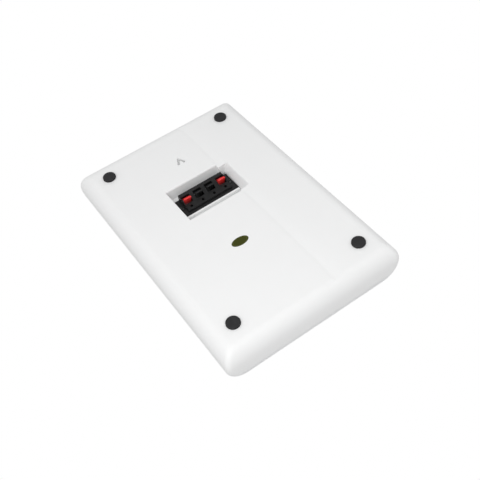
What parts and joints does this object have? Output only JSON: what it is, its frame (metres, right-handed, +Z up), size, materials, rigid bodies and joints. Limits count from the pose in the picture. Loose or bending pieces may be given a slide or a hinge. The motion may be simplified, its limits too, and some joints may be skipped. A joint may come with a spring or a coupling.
{
  "type": "wall speaker",
  "caption": "Slim rectangular wall speaker in a rounded white case with a recessed spring-lever terminal, a hanging slot and round rubber feet on its back.",
  "frame": {"origin": "middle of the four foot faces, on the wall plane", "axes": "+X to the right seen from the front, +Y into the wall, +Z up as the speaker hangs"},
  "size_m": [0.2, 0.0435, 0.298],
  "materials": {
    "white_plastic": "fine matt",
    "black_plastic": "satin",
    "black_plastic_lever": "satin",
    "red_plastic": "satin",
    "rubber": "matt",
    "steel": "satin",
    "zinc_steel": "bright zinc",
    "black_screw": "satin",
    "black_steel": "satin",
    "copper": "enamelled copper",
    "tinned_brass": "tinned",
    "magnet": "sintered",
    "cone_pulp": "pressed pulp",
    "silk": "coated silk",
    "cloth": "impregnated cloth",
    "foam": "foam",
    "felt": "felt",
    "board": "laminate",
    "capacitor_film": "wrapped film",
    "ceramic": "cement",
    "grille_paint": "powder coat"
  },
  "bodies": {
    "cabinet": {"rear_housing": "white_plastic", "front_shell": "white_plastic", "seam_gasket": "foam", "case_screws": "zinc_steel", "foot_1": "rubber", "foot_2": "rubber", "foot_3": "rubber", "foot_4": "rubber", "terminal_block": "black_plastic", "terminal_gasket": "foam", "terminal_screws": "black_screw", "lever_pivot_rod": "steel", "terminal_contacts": "tinned_brass", "lever_spring_1": "steel", "lever_spring_2": "steel", "lever_spring_3": "steel", "lever_spring_4": "steel", "woofer_basket": "black_steel", "woofer_yoke": "steel", "woofer_magnet": "magnet", "woofer_pole_plate": "steel", "woofer_voice_coil": "copper", "woofer_cone": "cone_pulp", "woofer_dust_cap": "cone_pulp", "woofer_surround": "rubber", "woofer_spider": "cloth", "woofer_trim_ring": "black_plastic", "woofer_screws": "black_screw", "woofer_solder_strip": "tinned_brass", "tweeter_faceplate": "black_plastic", "tweeter_dome": "silk", "tweeter_motor": "steel", "tweeter_screws": "black_screw", "crossover_board": "board", "crossover_inductor": "copper", "crossover_capacitors": "capacitor_film", "crossover_resistor": "ceramic", "crossover_screws": "zinc_steel", "damping_felt": "felt", "grille": "grille_paint", "grille_frame": "black_plastic", "grille_grommets": "rubber"},
    "lever_1": {"lever_1": "red_plastic"},
    "lever_2": {"lever_2": "black_plastic_lever"},
    "lever_3": {"lever_3": "black_plastic_lever"},
    "lever_4": {"lever_4": "red_plastic"}
  },
  "joints": [
    {"name": "lever_1_hinge", "type": "hinge", "parent": "cabinet", "child": "lever_1", "pos_m": [-0.0213, -0.0119, 0.0462], "axis": [-1, 0, 0], "range_deg": [0, 12], "stiffness_Nm_per_rad": 0.02, "springref_deg": -2.86},
    {"name": "lever_2_hinge", "type": "hinge", "parent": "cabinet", "child": "lever_2", "pos_m": [-0.0071, -0.0119, 0.0462], "axis": [-1, 0, 0], "range_deg": [0, 12], "stiffness_Nm_per_rad": 0.02, "springref_deg": -2.86},
    {"name": "lever_3_hinge", "type": "hinge", "parent": "cabinet", "child": "lever_3", "pos_m": [0.0071, -0.0119, 0.0462], "axis": [-1, 0, 0], "range_deg": [0, 12], "stiffness_Nm_per_rad": 0.02, "springref_deg": -2.86},
    {"name": "lever_4_hinge", "type": "hinge", "parent": "cabinet", "child": "lever_4", "pos_m": [0.0213, -0.0119, 0.0462], "axis": [-1, 0, 0], "range_deg": [0, 12], "stiffness_Nm_per_rad": 0.02, "springref_deg": -2.86}
  ]
}
